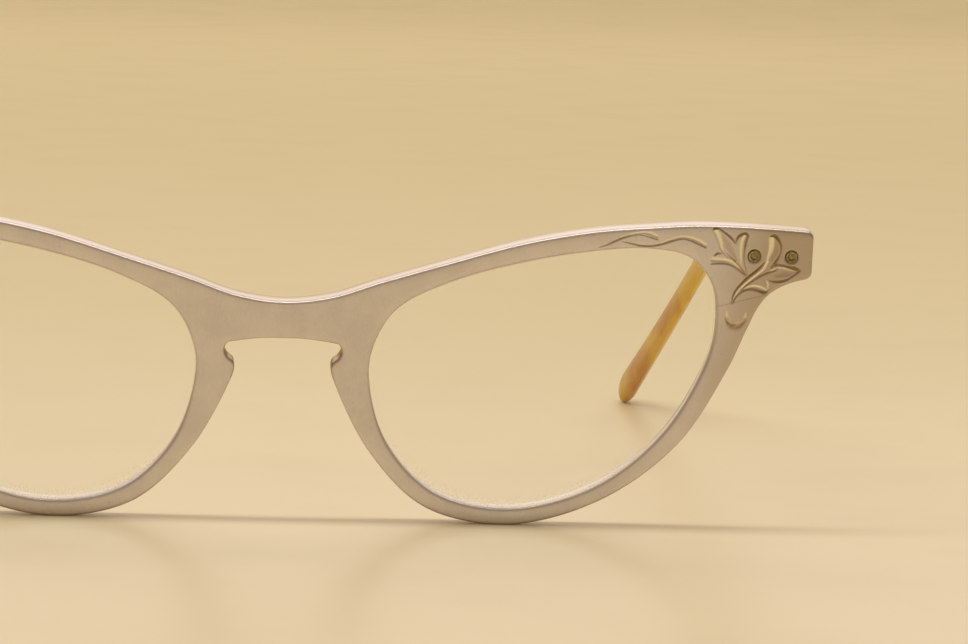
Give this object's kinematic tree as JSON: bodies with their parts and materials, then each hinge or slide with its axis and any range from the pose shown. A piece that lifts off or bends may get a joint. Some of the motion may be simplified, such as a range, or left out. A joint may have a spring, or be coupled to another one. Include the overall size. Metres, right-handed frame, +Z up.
{
  "type": "cat eye eyeglasses",
  "caption": "Cat eye eyeglasses: a bevelled metal front with keyhole bridge and upswept engraved wings, clear lenses in split rims, and folding temples with amber tips.",
  "frame": {"origin": "centre of the footprint on the table that the glasses stand on, with both rims and both temple tips at z = 0", "axes": "+X to the wearer's left, -Y the way the lenses face, +Z up; the temples run towards +Y"},
  "size_m": [0.1286, 0.1313, 0.0385],
  "materials": {
    "front": "satin anodised, with bright bevels",
    "temple_bar": "satin anodised",
    "lens": "clear, polished",
    "hinge": "brushed",
    "hinge_screw": "brushed",
    "rim_screw": "brushed",
    "rivet": "dull, peened",
    "temple_tip": "polished amber"
  },
  "bodies": {
    "front": {"front_frame": "front", "lens_left": "lens", "lens_right": "lens", "rim_screw_left": "rim_screw", "rim_screw_right": "rim_screw", "front_hinge_left": "hinge", "front_hinge_right": "hinge", "front_rivet_inner_left": "rivet", "front_rivet_inner_right": "rivet", "front_rivet_outer_left": "rivet", "front_rivet_outer_right": "rivet", "hinge_screw_left": "hinge_screw", "hinge_screw_right": "hinge_screw"},
    "temple_left": {"temple_hinge_left": "hinge", "temple_rivet_fore_left": "rivet", "temple_rivet_aft_left": "rivet", "temple_bar_left": "temple_bar", "temple_tip_left": "temple_tip"},
    "temple_right": {"temple_hinge_right": "hinge", "temple_rivet_fore_right": "rivet", "temple_rivet_aft_right": "rivet", "temple_bar_right": "temple_bar", "temple_tip_right": "temple_tip"}
  },
  "joints": [
    {"name": "fold_left", "type": "hinge", "parent": "front", "child": "temple_left", "pos_m": [0.0594, -0.06044, 0.03509], "axis": [0, -0.1341, 0.991], "range_deg": [0, 83]},
    {"name": "fold_right", "type": "hinge", "parent": "front", "child": "temple_right", "pos_m": [-0.0594, -0.06044, 0.03509], "axis": [0, 0.1341, -0.991], "range_deg": [0, 90]}
  ]
}
